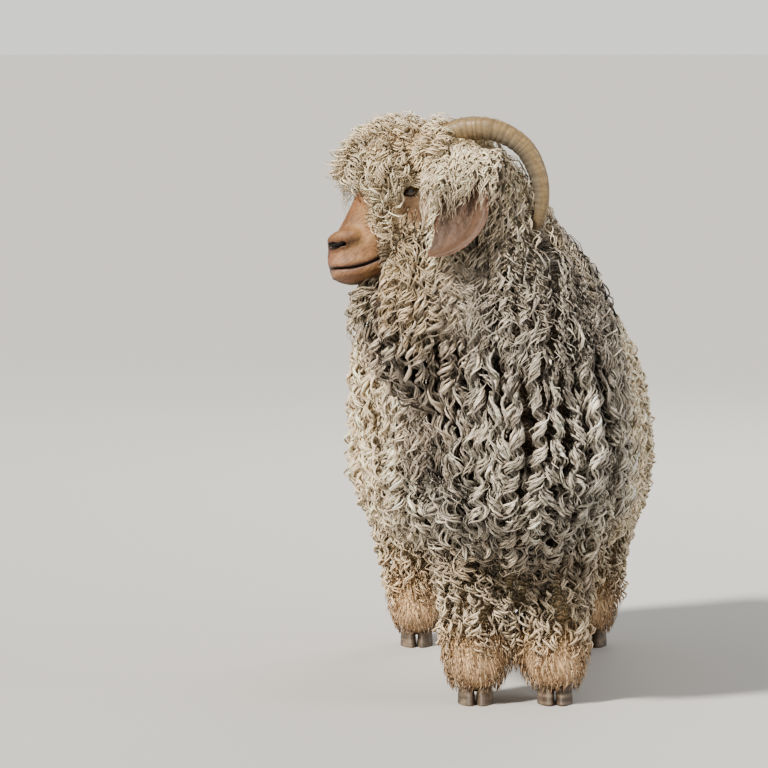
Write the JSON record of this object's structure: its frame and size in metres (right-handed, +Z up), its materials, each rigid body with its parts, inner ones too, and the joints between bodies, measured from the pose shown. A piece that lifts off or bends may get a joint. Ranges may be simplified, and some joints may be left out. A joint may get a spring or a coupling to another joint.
{
  "type": "angora goat model",
  "caption": "Still life-size model of an adult horned angora goat in full curly fleece, standing square with its head turned to its right.",
  "frame": {"origin": "on the floor, under the middle of the whole model's box", "axes": "+Z up; the body lies along Y with the chest towards -Y and the tail towards +Y; +X is the animal's own left, and the head is turned to -X"},
  "size_m": [0.429, 0.8639, 0.7466],
  "materials": {
    "fleece": "lustrous curly fleece, tan on face and feet",
    "ear_hide": "short soft hair over skin",
    "eye": "wet gloss",
    "horn": "ringed horn, satin",
    "hoof": "worn horn, matt"
  },
  "bodies": {
    "root": {"head": "fleece", "neck": "fleece", "trunk": "fleece", "tail": "fleece", "foreleg_left": "fleece", "foreleg_right": "fleece", "hindleg_left": "fleece", "hindleg_right": "fleece", "ear_left": "ear_hide", "ear_right": "ear_hide", "eye_left": "eye", "eye_right": "eye", "horn_left": "horn", "horn_right": "horn", "claw_fore_left_outer": "hoof", "claw_fore_left_inner": "hoof", "claw_fore_right_outer": "hoof", "claw_fore_right_inner": "hoof", "claw_hind_left_outer": "hoof", "claw_hind_left_inner": "hoof", "claw_hind_right_outer": "hoof", "claw_hind_right_inner": "hoof"}
  },
  "joints": []
}
